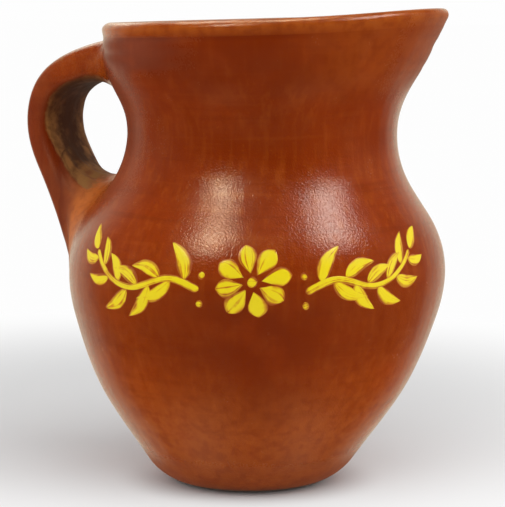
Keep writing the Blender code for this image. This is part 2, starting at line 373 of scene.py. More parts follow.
def clay(name, warmth=0.0, roughness=0.19):
    """Burnished terracotta: blotched and streaked slip over paler clay, rubbed to a low gloss."""
    m = Maker(name)
    p = m.place()
    blotch = m.noise(p, 36, 2.0)
    mottle = m.noise(p, 8.5, 4.0, 0.55)
    upright = m.noise(m.place((1, 1, 0.085)), 2.7, 3.0)
    level = m.noise(m.place((0.05, 0.05, 1)), 2.1, 3.0)
    speck = m.noise(m.place((1.0, 1.0, 0.92)), 0.66, 2.0, 0.5)
    grain = m.noise(p, 0.30, 2.0)

    colour = m.mix(m.ramp(blotch, 0.38, 0.68, 0.0, 0.5), BASE, DARK_SLIP_AND_SHADE)
    colour = m.mix(m.ramp(mottle, 0.50, 0.78, 0.0, 0.22), colour, PALE_CLAY_AND_SHEEN)
    colour = m.mix(m.ramp(mottle, 0.46, 0.24, 0.0, 0.30), colour, DARK_SLIP_AND_SHADE)
    colour = m.mix(m.ramp(upright, 0.49, 0.72, 0.0, 0.26), colour, PALE_CLAY_AND_SHEEN)
    colour = m.mix(m.ramp(upright, 0.47, 0.26, 0.0, 0.24), colour, DARK_SLIP_AND_SHADE)
    colour = m.mix(m.ramp(level, 0.53, 0.72, 0.0, 0.30), colour, DARK_SLIP_AND_SHADE)
    colour = m.mix(m.ramp(level, 0.44, 0.28, 0.0, 0.13), colour, PALE_CLAY_AND_SHEEN)
    colour = m.mix(m.ramp(speck, 0.60, 0.74, 0.0, 0.34), colour, DARK_SLIP_AND_SHADE)
    colour = m.mix(m.ramp(speck, 0.38, 0.26, 0.0, 0.26), colour, PALE_CLAY_AND_SHEEN)

    # deep darkens the colour: painted shade on the wall, a darker tone on the handle
    thick = m.math("MULTIPLY", m.attribute("deep"), m.ramp(m.noise(p, 14.0, 3.0), 0.3, 0.62, 0.6, 1.0))
    colour = m.mix(thick, colour, DARK_SLIP_AND_SHADE)
    # warm pales the colour: on the rim and the handle, and as painted light low on the belly and painted sheen on its
    # sides
    warm = m.attribute("warm")
    if warmth:
        warm = m.math("ADD", warm, warmth, clamp=True)
    patchy = m.math("MULTIPLY", warm, m.ramp(m.noise(p, 4.2, 3.0), 0.30, 0.62, 0.45, 1.0))
    colour = m.mix(patchy, colour, PALE_CLAY_AND_SHEEN)
    smeared = m.math("MULTIPLY", m.attribute("smear"), m.ramp(m.noise(p, 3.0, 3.0), 0.28, 0.6, 0.4, 1.0))
    colour = m.mix(smeared, colour, SMEAR)

    bare = m.math("ADD", m.attribute("bare"), m.ramp(m.noise(p, 3.2, 3.0), 0.3, 0.7, -0.22, 0.22))
    bare = m.ramp(bare, 0.32, 0.62)
    raw = m.mix(m.ramp(mottle, 0.36, 0.64), RAW, (0.25, 0.078, 0.022))
    colour = m.mix(bare, colour, raw)
    # soot darkens the colour: smoke under the handle, and painted shadow along the foot's bottom edge
    soot_and_shade = m.math("MULTIPLY", m.attribute("soot_and_shade"), m.ramp(m.noise(p, 5.5, 3.0), 0.26, 0.5, 0.78, 1.0))
    colour = m.mix(soot_and_shade, colour, SOOT_AND_SHADE)
    # dust pales the colour: dry dust, and painted highlight on the strap's top
    dusty = m.math("ADD", m.attribute("dust_and_glint"), m.ramp(m.noise(p, 3.8, 4.0, 0.6), 0.3, 0.7, -0.2, 0.2))
    dusty = m.math("MULTIPLY", m.ramp(dusty, 0.12, 0.95), m.ramp(m.attribute("dust_and_glint"), 0.02, 0.12))
    colour = m.mix(dusty, colour, DUST_AND_GLINT)

    matt = m.math("MAXIMUM", m.math("MAXIMUM", bare, m.attribute("matt")), m.math("MAXIMUM", soot_and_shade, dusty))
    gloss = m.math("ADD", m.ramp(mottle, 0.3, 0.7, -0.015, 0.035), m.ramp(speck, 0.35, 0.65, -0.03, 0.05))
    gloss = m.math("ADD", gloss, roughness)
    rough = m.node("ShaderNodeMix", {0: matt, 2: gloss, 3: 0.82}, data_type="FLOAT").outputs[0]

    height = m.math("ADD", speck, m.math("MULTIPLY", grain, 0.05))
    height = m.math("MULTIPLY", height, m.ramp(m.attribute("even"), 0.0, 1.0, 1.0, 0.30))
    normal = m.bump(mottle, 0.10)
    normal = m.bump(level, 0.020, normal)
    normal = m.bump(height, 0.112, normal)

    m.put(m.shader.inputs["Base Color"], colour)
    m.put(m.shader.inputs["Roughness"], rough)
    m.put(m.shader.inputs["Normal"], normal)
    m.shader.inputs["Specular IOR Level"].default_value = 0.25
    m.shader.inputs["Specular Tint"].default_value = (1.0, 0.90, 0.60, 1.0)
    return m.material


def paint(name, thick, thin, roughness=0.34):
    """Brushed slip paint: bright where it lies thick, amber where the brush left it thin."""
    m = Maker(name)
    p = m.place()
    film = m.attribute("film")
    bristle = m.attribute("bristle")
    blot = m.noise(p, 3.4, 3.0)
    cover = m.math("ADD", film, m.ramp(blot, 0.3, 0.7, -0.16, 0.16))
    cover = m.math("SUBTRACT", cover, m.ramp(bristle, 0.52, 0.95, 0.0, 0.48))
    colour = m.mix(m.ramp(cover, 0.10, 0.62), thin, thick)
    colour = m.mix(m.ramp(blot, 0.5, 0.72, 0.0, 0.18), colour, tuple(0.82 * c for c in thick))
    colour = m.mix(m.ramp(cover, 0.16, 0.0, 0.0, 0.7), colour, BASE)
    m.put(m.shader.inputs["Base Color"], colour)
    m.put(m.shader.inputs["Roughness"], m.ramp(blot, 0.3, 0.7, roughness - 0.05, roughness + 0.08))
    m.put(m.shader.inputs["Normal"], m.bump(m.noise(p, 0.5, 2.0), 0.016))
    m.shader.inputs["Specular IOR Level"].default_value = 0.2
    return m.material


BODY_CLAY = clay("burnished_body")
RIM_CLAY = clay("burnished_rim", warmth=0.06, roughness=0.18)
HANDLE_CLAY = clay("burnished_handle")
FOOT_CLAY = clay("burnished_foot")
YELLOW = paint("yellow_slip", (0.76, 0.60, 0.004), (0.55, 0.21, 0.006))
AMBER = paint("amber_underlayer", (0.58, 0.30, 0.006), (0.38, 0.10, 0.006), 0.4)


# ---- the wall, from the foot to the rim ---------------------------------------------
def wall_piece(name, outer_z, inner_z, material, rings=None, warm=None):
    """A closed ring of wall: outer heights run up, inner heights run down."""
    rings = rings or [outer(ANGLES, z) for z in outer_z] + [inner(ANGLES, z) for z in inner_z]
    count = len(rings)
    station = np.concatenate([outer_z, inner_z])
    inside = np.concatenate([np.zeros(len(outer_z)), np.ones(len(inner_z))])
    # burnishing carries on over the rim and a little way down the inside
    bare = inside * smooth((HEIGHT - 7 - station) / 9)
    dust_and_glint = inside * 0.5 * smooth((26 - station) / 18)
    warm = np.zeros(count) if warm is None else warm
    # deep carries the painted shade of the outer wall
    deep = ((1 - inside) * slip_and_painted_shade(ANGLES[:, None], station)).T
    even = (1 - inside) * rubbed_smooth(station)
    # the lip, handled most, has lost its gloss, and so has a streaked patch under the rim on the handle side
    turn = (ANGLES[:, None] + np.pi) % (2 * np.pi) - np.pi
    patch = np.exp(-((turn + 2.05) / 0.36) ** 2) * smooth((station - 150) / 9) * smooth(
        0.62 + 0.5 * uneven(ANGLES[:, None], station, 5, 2.4, 52))
    over = 1 - smooth((station - (HEIGHT - 6.5)) / 2.5)
    lip = smooth(lip_at(turn) / 0.45) * smooth((station - 138) / 16)
    waist = 0.65 * np.exp(-((turn + 2.6) / 0.36) ** 2) * smooth((station - 102) / 12) * (1 - smooth((station - 146) / 10))
    patch = np.maximum(patch, waist)
    matt = ((1 - inside) * np.maximum(0.52 * lip * smooth((turn + 0.40) / 0.5) * (1 - smooth((station - (HEIGHT - 2.2)) / 1.8)),
                                          0.9 * patch * over) + (1 - inside) * scuffed(station)).T
    warm = np.clip(warm[:, None] * (1 - 0.45 * lip.T) + 0.30 * ((1 - inside) * lip).T, 0, 1)
    painted_side_sheen = (1 - np.exp(-((turn + 1.07) / 0.55) ** 2)) * smooth((92 - station) / 22) * smooth(station / 20)
    warm = np.clip(warm + 0.20 * ((1 - inside) * painted_side_sheen).T, 0, 1)      # painted sheen: the lower belly paler on its sides than on its front, where the sides catch reflected light
    soot_and_shade = ((1 - inside) * 0.85 * np.clip(chips(ANGLES[:, None], station), 0, 1)).T
    faces = loft(rings, closed=True)
    points = np.concatenate(rings)
    travel = np.concatenate([[0], np.cumsum(
        [np.linalg.norm(rings[(r + 1) % count] - rings[r], axis=-1).mean() for r in range(count)])])
    travel /= travel[-1]
    i = np.arange(AROUND) / AROUND
    uv = np.concatenate([np.stack([
        np.stack([i, np.full(AROUND, travel[r])], -1),
        np.stack([i + 1 / AROUND, np.full(AROUND, travel[r])], -1),
        np.stack([i + 1 / AROUND, np.full(AROUND, travel[r + 1])], -1),
        np.stack([i, np.full(AROUND, travel[r + 1])], -1)], 1) for r in range(count)])
    obj = make(name, points, faces, floats={
        "bare": np.repeat(bare, AROUND), "dust_and_glint": np.repeat(dust_and_glint, AROUND),
        "warm": warm.ravel(), "deep": np.clip(deep, 0, 1).ravel(), "matt": matt.ravel(), "soot_and_shade": soot_and_shade.ravel(), "even": np.repeat(even, AROUND)},
        corners={"OFBake": uv})
    return adopt(obj, name, material)


# floor disc: hollowed a little underneath, so that it stands on a ring near its edge
edge = FOOT_EDGE * (1 - np.cos(np.linspace(0, np.pi / 2, 22)))
foot_rows = [z for z in edge if z < FLOOR - 0.2] + [FLOOR - 0.06, FLOOR]
flat = outer_radius(0.0)
toe = inner(ANGLES, 12.0)
toe_r = np.hypot(toe[:, 0] - LEAN * toe[:, 2], toe[:, 1]).min() - 0.2
rings, bare, dust_and_glint, warm, matt, soot_and_shade = [], [], [], [], [], []
for r in np.concatenate([np.linspace(0.04, 0.86, 26) * flat, np.linspace(0.88, 0.995, 9) * flat]):
    x, y = r * np.cos(ANGLES), r * np.sin(ANGLES)
    hollow = 0.42 * smooth((0.86 * flat - r) / 7)
    arcs = 0.06 * np.sin(np.hypot(x + 64, y - 22) * 2.3 + uneven(ANGLES, r, 5, 9, 41)) + 0.05 * uneven(ANGLES, r, 18, 2.2, 42)
    z = np.maximum(hollow * (1 + arcs / 0.2) + 0.02 * (1 + uneven(ANGLES, r, 40, 1.5, 43)), 0.0)
    rings.append(np.stack([x, y, z], -1))
    bare.append(1.0), dust_and_glint.append(0.32), warm.append(0.0), matt.append(0.9), soot_and_shade.append(0.0)
for z in foot_rows:
    rings.append(outer(ANGLES, z))
    contact_shadow_and_dirt = 1 - smooth((z - 0.35) / 1.9)         # painted shadow with dirt: a dark line where the foot meets the table; above it the foot is painted paler, like the lower belly
    bare.append(0.0), dust_and_glint.append(0.0), warm.append(0.45 * (1 - contact_shadow_and_dirt)), matt.append(scuffed(z)), soot_and_shade.append(0.88 * contact_shadow_and_dirt)
for r, z in ((toe_r, FLOOR), (toe_r - 0.5, FLOOR + 0.5), (toe_r - 2.0, FLOOR + 1.4), (toe_r - 4.0, FLOOR + 1.85)):
    rings.append(place(ANGLES, r, z, z))
    bare.append(1.0), dust_and_glint.append(0.5), warm.append(0.0), matt.append(0.9), soot_and_shade.append(0.0)
for r in np.linspace(toe_r - 5.5, 1.0, 16):
    z = FLOOR + FLOOR_STEP + 0.16 * np.sin(2 * np.pi * r / 5.4 + ANGLES)
    rings.append(place(ANGLES, r, z, 0.0))
    bare.append(1.0), dust_and_glint.append(0.55), warm.append(0.0), matt.append(0.9), soot_and_shade.append(0.0)
faces = loft(rings, closed=False)
points = np.concatenate(rings + [[rings[0].mean(axis=0)], [rings[-1].mean(axis=0)]])
last = len(points) - 1
top = (len(rings) - 1) * AROUND
for i in range(AROUND):
    k = (i + 1) % AROUND
    faces += [(k, i, last - 1), (top + i, top + k, last)]
tail = lambda v: np.concatenate([np.repeat(v, AROUND), [v[0], v[-1]]])
adopt(make("base_disc", points, faces, floats={
    "bare": tail(bare), "dust_and_glint": tail(dust_and_glint), "warm": tail(warm), "matt": tail(matt), "soot_and_shade": tail(soot_and_shade)}),
    "base_disc", FOOT_CLAY)

# lower belly, standing on the disc
up = rows_between(FLOOR, JOINT_BELLY, ROW)
down = rows_between(12.0, JOINT_BELLY - SCARF, ROW_INSIDE)[::-1]
rings = [outer(ANGLES, z) for z in up] + [inner(ANGLES, z) for z in down]
low = rings[-1]
for share, drop in ((0.35, 0.25), (0.75, 0.62), (1.0, 1.0)):
    ring = place(ANGLES, toe_r + 0.02, FLOOR, 0.0)
    mixed = low + (ring - low) * np.array([share, share, drop])
    rings.append(mixed)
# painted light: the lower belly paler towards the foot, where it faces the floor
wall_piece("lower_belly", up, np.concatenate([down, [10.5, 9.0, FLOOR]]), BODY_CLAY, rings,
           warm=np.concatenate([0.46 * smooth((58 - up) / 40), np.zeros(len(down) + 3)]))

up = rows_between(JOINT_BELLY, JOINT_NECK, ROW)
wall_piece("shoulder", up, rows_between(JOINT_BELLY - SCARF, JOINT_NECK - SCARF, ROW_INSIDE)[::-1],
           BODY_CLAY)

up = rows_between(JOINT_NECK, JOINT_RIM, ROW)
wall_piece("neck", up, rows_between(JOINT_NECK - SCARF, JOINT_RIM - SCARF, ROW_INSIDE)[::-1],
           BODY_CLAY, warm=np.concatenate([0.0 * up, np.zeros(len(rows_between(
               JOINT_NECK - SCARF, JOINT_RIM - SCARF, ROW_INSIDE)))]))

crown = HEIGHT - RIM_ROUND * (1 - np.sin(np.linspace(0, np.pi / 2, 13)))
up = np.concatenate([rows_between(JOINT_RIM, HEIGHT - RIM_ROUND, 0.45), crown[1:]])
down = np.concatenate([crown[::-1], rows_between(JOINT_RIM - SCARF, HEIGHT - RIM_ROUND, 0.7)[::-1][1:]])
warm = np.concatenate([0.64 * smooth((up - (HEIGHT - 6.6)) / 4.4), 0.45 * smooth((down - (HEIGHT - 7)) / 4)])
wall_piece("rim_bead", up, down, RIM_CLAY, warm=warm)


# ---- the handle ---------------------------------------------------------------------
line = np.array(STRAP_LINE)
length = np.concatenate([[0], np.cumsum(np.hypot(*np.diff(line, axis=0).T))])
STRAP_LENGTH = length[-1]
STRAP = spline(length / STRAP_LENGTH, line)
WIDTH = spline(np.linspace(0, 1, len(STRAP_WIDTH)), STRAP_WIDTH)
THICK = spline(np.linspace(0, 1, len(STRAP_THICK)), STRAP_THICK)


def section(turn):
    """(across, side) of the strap's rounded section; across is 1 towards the jug."""
    c, s = np.cos(turn), np.sin(turn)
    return (np.sign(c) * np.abs(c) ** (2 / STRAP_POWER), np.sign(s) * np.abs(s) ** (2 / STRAP_POWER))


dense = np.linspace(0, 2 * np.pi, 6001)
da, ds = section(dense)
girth = np.concatenate([[0], np.cumsum(np.hypot(np.diff(da) * 5.6, np.diff(ds) * 15.8))])
ROUND = np.interp(np.arange(STRAP_AROUND) / STRAP_AROUND * girth[-1], girth, dense)
ACROSS, SIDE = section(ROUND)
GIRTH = np.arange(STRAP_AROUND) * 2 * np.pi / STRAP_AROUND


def strap_ring(u, grow=0.0):
    """One loop round the strap; u may differ from point to point. Pulling leaves long shallow ridges."""
    u = np.broadcast_to(np.asarray(u, float), ROUND.shape)
    c, d = STRAP(u), unit(STRAP(u, 1))
    rough = (0.16 * uneven(GIRTH, u * 110, 9, 21, 31) + 0.06 * uneven(GIRTH, u * 110, 30, 48, 32)
             + 0.09 * np.clip(ACROSS, 0, 1) * uneven(GIRTH, u * 110, 44, 4.0, 33))
    t = ACROSS * (THICK(u) / 2 + grow + rough)
    return np.stack([c[:, 0] - d[:, 1] * t, SIDE * (WIDTH(u) / 2 + grow + rough), c[:, 1] + d[:, 0] * t], -1)


def strap_ends(grow, away):
    """Where each line along the strap comes within a distance of the wall: (upper, lower)."""
    us = np.linspace(0, 1, 501)
    near = np.array([wall_distance(strap_ring(u, grow)) for u in us]) - away
    found = []
    for step in (-1, 1):
        ends = np.full(STRAP_AROUND, us[0 if step < 0 else -1])
        for j in range(STRAP_AROUND):
            i = len(us) // 2
            while 0 < i < len(us) - 1 and near[i, j] > 0:
                i += step
            if near[i, j] <= 0:
                a, b = near[i - step, j], near[i, j]
                ends[j] = us[i - step] + (us[i] - us[i - step]) * a / (a - b)
        found.append(ends)
    return found


HITS = strap_ends(0.0, 0.0)


def reach_of(crotch, beside, beyond):
    reach = (beside + (crotch - beside) * np.clip(ACROSS, 0, 1) ** 1.5
             + (beyond - beside) * np.clip(-ACROSS, 0, 1) ** 1.5)
    return reach * (1 - 0.35 * np.clip(-ACROSS, 0, 1) * np.abs(SIDE))      # rounds off the smear's outer corners


REACH = reach_of(*UPPER_REACH), reach_of(*LOWER_REACH)
STARTS = [np.clip(HITS[e] + (1 - 2 * e) * REACH[e] / STRAP_LENGTH, 0.02, 0.98) for e in (0, 1)]
UNDER = smooth((ACROSS - 0.52) / 0.36)          # the face of the strap turned to the jug
INSET = 0.4


def sooted(u):
    """The smoked face narrows downwards, where the strap's sides widen into the shoulder."""
    edge = 1.04 - 0.34 * smooth((u - 0.34) / 0.42)
    return UNDER * smooth((edge - np.abs(SIDE)) / 0.16)


blend = np.concatenate([[0, 0.0008, 0.004], np.linspace(0, 1, 128)[1:-1], [0.996, 0.9992, 1]])
rings, soot_and_shade, dust_and_glint, warm, bare, matt, deep = [], [], [], [], [], [], []
DULL = 0.20 * smooth((ACROSS + 0.75) / 0.5)      # all but the outer face


def strap_row(ring, u):
    rings.append(ring)
    u = np.broadcast_to(u, ROUND.shape)
    under = sooted(u)
    rubbed = smooth(under / 0.6) * (1 - smooth((under - 0.80) / 0.20))      # along both edges of that face
    soot_and_shade.append(under * 0.92 * smooth((0.90 - u) / 0.14) * smooth((u - 0.05) / 0.1))
    # the pale patches high on the strap's outer face are painted highlight in the dust colour, for the glints on its
    # top
    dust_and_glint.append(under * (0.06 + 0.52 * smooth((u - 0.24) / 0.26) * smooth((np.abs(SIDE) - 0.10) / 0.55)) + 0.30 * rubbed * smooth((u - 0.20) / 0.25)
                + 0.42 * np.exp(-((u - 0.21) / 0.085) ** 2) * smooth((-0.25 - ACROSS) / 0.4) * smooth(0.4 + uneven(GIRTH, u * 110, 26, 3.2, 62)))
    warm.append((1 - UNDER) * (0.14 * smooth((u - 0.74) / 0.2) + 0.22 * smooth((0.25 - u) / 0.2)
                               + 0.10 * (uneven(GIRTH, u * 110, 12, 12, 35) + 0.4)))
    bare.append(under * 0.75)
    matt.append(np.maximum(0.09 + DULL * smooth((u - 0.18) / 0.2), 0.75 * smooth((ACROSS + 0.55) / 0.4) * smooth((u - 0.52) / 0.22)))
    deep.append((1 - under) * 0.75 * smooth((u - 0.16) / 0.2))


for share in (0.0, 0.5):
    u = HITS[0] + (STARTS[0] - HITS[0]) * share
    strap_row(strap_ring(u, -INSET), u)
strap_row(strap_ring(STARTS[0] - 0.002, -INSET), STARTS[0])
for b in blend:
    u = STARTS[0] + (STARTS[1] - STARTS[0]) * b
    strap_row(strap_ring(u), u)
strap_row(strap_ring(STARTS[1] + 0.002, -INSET), STARTS[1])
for share in (0.5, 0.0):
    u = HITS[1] + (STARTS[1] - HITS[1]) * share
    strap_row(strap_ring(u, -INSET), u)
faces = loft(rings, closed=False)
points = np.concatenate(rings + [[rings[0].mean(axis=0)], [rings[-1].mean(axis=0)]])
last = len(points) - 1
top = (len(rings) - 1) * STRAP_AROUND
for i in range(STRAP_AROUND):
    k = (i + 1) % STRAP_AROUND
    faces += [(k, i, last - 1), (top + i, top + k, last)]
ends = lambda rows: np.concatenate([np.concatenate(rows), [0, 0]])
adopt(make("handle_strap", points, faces, floats={
    "soot_and_shade": ends(soot_and_shade), "dust_and_glint": ends(dust_and_glint), "warm": ends(warm), "bare": ends(bare), "matt": ends(matt),
    "deep": ends(deep)}),
    "handle_strap", HANDLE_CLAY)


def collar(name, end):
    """Luting clay smeared round one end of the strap, curving from the strap into the wall."""
    sign = 1 - 2 * end
    hit, start, reach = HITS[end], STARTS[end], REACH[end]
    root = strap_ring(hit)
    away = unit(np.cross(wall_normal(root), np.roll(root, -1, axis=0) - np.roll(root, 1, axis=0)))
    if ((root - root.mean(axis=0)) * away).sum() < 0:
        away = -away
    a = strap_ring(start)
    b = to_wall(root + away * reach[:, None], -0.008)
    ta = unit(strap_ring(start - sign * 0.006) - strap_ring(start + sign * 0.006))
    nb = wall_normal(b)
    tb = b - root
    tb = unit(tb - nb * (tb * nb).sum(-1, keepdims=True))
    la = np.linalg.norm(root - a, axis=-1, keepdims=True)
    lb = np.linalg.norm(root - b, axis=-1, keepdims=True)
    opening = np.arccos(np.clip((unit(a - root) * unit(b - root)).sum(-1, keepdims=True), -0.98, 0.98))
    arc = np.pi - opening
    k = 4 / 3 * np.tan(arc / 4) / np.tan(arc / 2)
    p1, p2 = a + ta * la * k, b - tb * lb * k
    strap_out = unit(strap_ring(hit, 0.2) - root)
    rings, soot_and_shade, dust_and_glint, warm, bare, smear, matt, deep, even = ([] for _ in range(9))
    steps = np.concatenate([[0, 0.004, 0.015], np.linspace(0, 1, 30)[1:-1], [0.985, 0.996, 1]])
    for t in steps:
        ring = (1 - t) ** 3 * a + 3 * (1 - t) ** 2 * t * p1 + 3 * (1 - t) * t * t * p2 + t ** 3 * b
        push = np.sin(np.pi * t) ** 2 * (0.22 * uneven(GIRTH, t * 30, 12, 7, 36 + end)
                                         + 0.10 * uneven(GIRTH, t * 30, 26, 3, 38 + end))
        rings.append(ring + unit(strap_out * (1 - t) + nb * t) * push[:, None])
        angle, station = on_wall(rings[-1])
        out = smooth((t - 0.25) / 0.55)             # from the strap's finish to the wall's
        matt.append(np.maximum((0.09 + end * DULL) * (1 - out), end * 0.75 * smooth((ACROSS + 0.55) / 0.4) * (1 - smooth((t - 0.45) / 0.45))))
        deep.append(slip_and_painted_shade(angle, station) * out + end * (1 - sooted(start + 0.22 * t)) * 0.95 * (1 - smooth((t - 0.15) / 0.55)))
        even.append(rubbed_smooth(station) * out)
        smear.append(end * 1.0 * smooth((ACROSS - 0.1) / 0.4) * smooth((t - 0.32) / 0.2) * (1 - smooth((t - 0.60) / 0.34)))
        if end == 0:
            soot_and_shade.append(UNDER * 0.75 * (1 - smooth((t - 0.25) / 0.4)))
            dust_and_glint.append(UNDER * 0.12 * (1 - t))
            bare.append(UNDER * 0.7 * (1 - smooth((t - 0.3) / 0.3)))
            warm.append(0.55 * np.sin(np.pi * np.clip(t * 1.1, 0, 1)) * smooth((0.75 + ACROSS) / 1.0) * (1 - 0.6 * UNDER) + 0 * ACROSS)
        else:
            under = sooted(start + 0.22 * t)
            rubbed = smooth(under / 0.6) * (1 - smooth((under - 0.80) / 0.20))
            soot_and_shade.append(under * 0.92 * (1 - smooth((t - 0.14) / 0.32)))
            dust_and_glint.append((under * (0.06 + 0.67 * np.maximum(smooth((t - 0.14) / 0.24), 0.78 * smooth((np.abs(SIDE) - 0.10) / 0.55))) + 0.30 * rubbed * (1 - smooth(t / 0.3)))
                        * (1.1 + 1.1 * uneven(GIRTH, t * 30, 36, 2.2, 61)) * (1 - smooth((t - 0.42) / 0.22)))
            bare.append(under * 0.75 * (1 - smooth((t - 0.44) / 0.22)))
            warm.append(0.6 * smooth((ACROSS + 0.9) / 0.9) * np.sin(np.pi * np.clip(t, 0, 1)) ** 1.3 * (1 - smooth((t - 0.48) / 0.40)) * (1 - 0.5 * under))
    visible = len(rings)
    for s in (0.97, 0.7, 0.4, 0.12):
        rings.append(to_wall(root + away * (reach * s)[:, None], -0.35))
    for s in (0.12, 0.4, 0.7, 0.97):
        rings.append(strap_ring(hit + (start - hit) * s, -0.35))
    fill = lambda rows: np.concatenate(rows + [np.zeros(STRAP_AROUND)] * (len(rings) - visible))
    obj = make(name, np.concatenate(rings), loft(rings, closed=True), floats={
        "soot_and_shade": fill(soot_and_shade), "dust_and_glint": fill(dust_and_glint), "warm": fill(warm), "bare": fill(bare), "smear": fill(smear),
        "matt": fill(matt), "deep": fill(deep), "even": fill(even)})
    return adopt(obj, name, HANDLE_CLAY)


collar("handle_upper_joint", 0)
collar("handle_lower_joint", 1)


# ---- painted flower and leaf sprays -------------------------------------------------
FRONT = math.radians(-63.0)     # middle of the painted band
UNROLL = 66.0                   # millimetres of wall for each radian there
brush = np.random.RandomState(5)


def wall_frame(s, h):
    """Point and normal of the wall at s along the band and h up."""
    angle = FRONT + s / UNROLL
    e = 0.15
    p = outer(angle, h)
    across = outer(angle + e / UNROLL, h) - outer(angle - e / UNROLL, h)
    rise = outer(angle, h + e) - outer(angle, h - e)
    return p, unit(np.cross(across, rise))


def stroke(path, width, depth, shape, seed, shift=(0.0, 0.0)):
    """One closed brush stroke lying on the wall: (points, faces, film, bristle)."""
    path = np.asarray(path, float) + shift
    knots = np.concatenate([[0], np.cumsum(np.hypot(*np.diff(path, axis=0).T))])
    total = knots[-1]
    curve = spline(knots / total, path)
    n = max(int(total / 0.33), 17)
    t = 0.5 - 0.5 * np.cos(np.linspace(0.0, np.pi, n)) if shape != "stem" else np.linspace(0, 1, n)
    c, d = curve(t), unit(curve(t, 1))
    side = np.stack([-d[:, 1], d[:, 0]], -1)
    if shape == "leaf":         # loaded brush pressed, then lifted to a point
        half = width / 2 * np.sin(np.pi * np.clip(t, 0, 1) ** 0.72) ** 0.85
    elif shape == "petal":      # round outer end, narrow root
        half = width / 2 * np.sin(np.pi * np.clip(t, 0, 1) ** 1.5) ** 0.7
    elif shape == "dot":
        half = width / 2 * np.sqrt(np.clip(1 - (2 * t - 1) ** 2, 0, 1))
    else:
        end = np.minimum(t, 1 - t) * total / (width * 0.5)
        half = width / 2 * np.sqrt(np.clip(1 - (1 - np.clip(end, 0, 1)) ** 2, 0, 1)) * (1 - 0.35 * t)
    half = np.maximum(half * (1 + 0.07 * uneven(t * 2, seed, 9, 1.0, seed)), 0.03)
    v = np.concatenate([np.linspace(-1, 1, 19), [0.6, 0.0, -0.6]])
    top = np.arange(len(v)) < 19
    sh = c[:, None, :] + side[:, None, :] * (half[:, None] * v)[..., None]
    p, normal = wall_frame(sh[..., 0], sh[..., 1])
    hair = uneven(v[None, :] * 0.9 + 3, (t[:, None] * total), 34, 9.0, seed + 1)
    tip = smooth(np.minimum(t, 1 - t) * total / 1.4)[:, None]
    crown = (1 - np.abs(v) ** 3.2)[None, :] * (0.82 + 0.18 * np.abs(v)[None, :] ** 1.5)
    film = crown * (0.45 + 0.55 * tip) * (0.86 + 0.14 * uneven(v[None, :] + 2, t[:, None] * total, 7, 6, seed + 2))
    high = np.where(top[None, :], depth * film * (1 + 0.30 * hair), -0.07)
    points = (p + normal * high[..., None]).reshape(-1, 3)
    rings = [points[i * len(v):(i + 1) * len(v)] for i in range(n)]
    faces = loft(rings, closed=False)
    points = np.concatenate([points, [rings[0].mean(axis=0)], [rings[-1].mean(axis=0)]])
    last, k0 = len(points) - 1, (n - 1) * len(v)
    for i in range(len(v)):
        k = (i + 1) % len(v)
        faces += [(k, i, last - 1), (k0 + i, k0 + k, last)]
    film = np.where(top[None, :], film, 0.2) * np.ones((n, 1))
    return points, faces, np.append(film.ravel(), [0.2, 0.2]), np.append((0.5 + 0.5 * hair).ravel(), [0.5, 0.5])


def turned(at, angle, distance):
    return (at[0] + distance * math.cos(angle), at[1] + distance * math.sin(angle))


marks = []      # (path, width, shape)
heart = (-2.0, 83.0)
for i in range(8):
    a = 2 * math.pi * i / 8 + 0.2 + brush.uniform(-0.06, 0.06)
    reach = 12.6 + brush.uniform(-0.7, 0.7)
    marks.append(([turned(heart, a, 3.2), turned(heart, a + 0.04, 7.8), turned(heart, a + 0.01, reach)], 6.2, "petal"))
marks.append(([(heart[0] - 1.5, heart[1]), heart, (heart[0] + 1.5, heart[1] + 0.2)], 3.4, "dot"))
for hand_side, stem in ((1, ((16.0, 79.5), (27.0, 83.5), (39.5, 80.5), (51.0, 83.5), (60.0, 91.0))),
                        (-1, ((-19.5, 80.0), (-31.0, 83.5), (-44.0, 79.5), (-56.0, 82.5), (-65.5, 90.5)))):
    marks.append((stem, 2.5, "stem"))
    knots = np.array(stem)
    run = np.concatenate([[0], np.cumsum(np.hypot(*np.diff(knots, axis=0).T))])
    follow = spline(run / run[-1], knots)
    for i, t in enumerate(np.linspace(0.10, 0.92, 10)):
        at, along = follow(t), follow(t, 1)
        way = math.atan2(along[1], along[0])
        up = 1 if i % 2 == 0 else -1
        lean_out = way + up * hand_side * (0.80 + brush.uniform(-0.10, 0.10))
        size = (14.5 - 4.5 * t) * (1 + brush.uniform(-0.10, 0.10))
        foot = turned(at, lean_out, 1.3)
        bend = lean_out - up * hand_side * 0.20
        marks.append(([foot, turned(foot, lean_out + up * hand_side * 0.06, size * 0.5), turned(foot, bend, size)],
                      4.9 - 1.3 * t + brush.uniform(-0.3, 0.3), "leaf"))
    tip, along = follow(1.0), follow(1.0, 1)
    way = math.atan2(along[1], along[0])
    foot = turned(tip, way, 0.8)
    marks.append(([foot, turned(foot, way + 0.08, 5.5), turned(foot, way - 0.05, 10.5)], 3.8, "leaf"))
    for x, y in ((0.8, 5.2), (0.2, -4.6)):
        berry = (knots[0][0] - hand_side * x, knots[0][1] + y)
        marks.append(([(berry[0] - 1.0, berry[1]), berry, (berry[0] + 1.0, berry[1] + 0.1)], 2.4, "dot"))


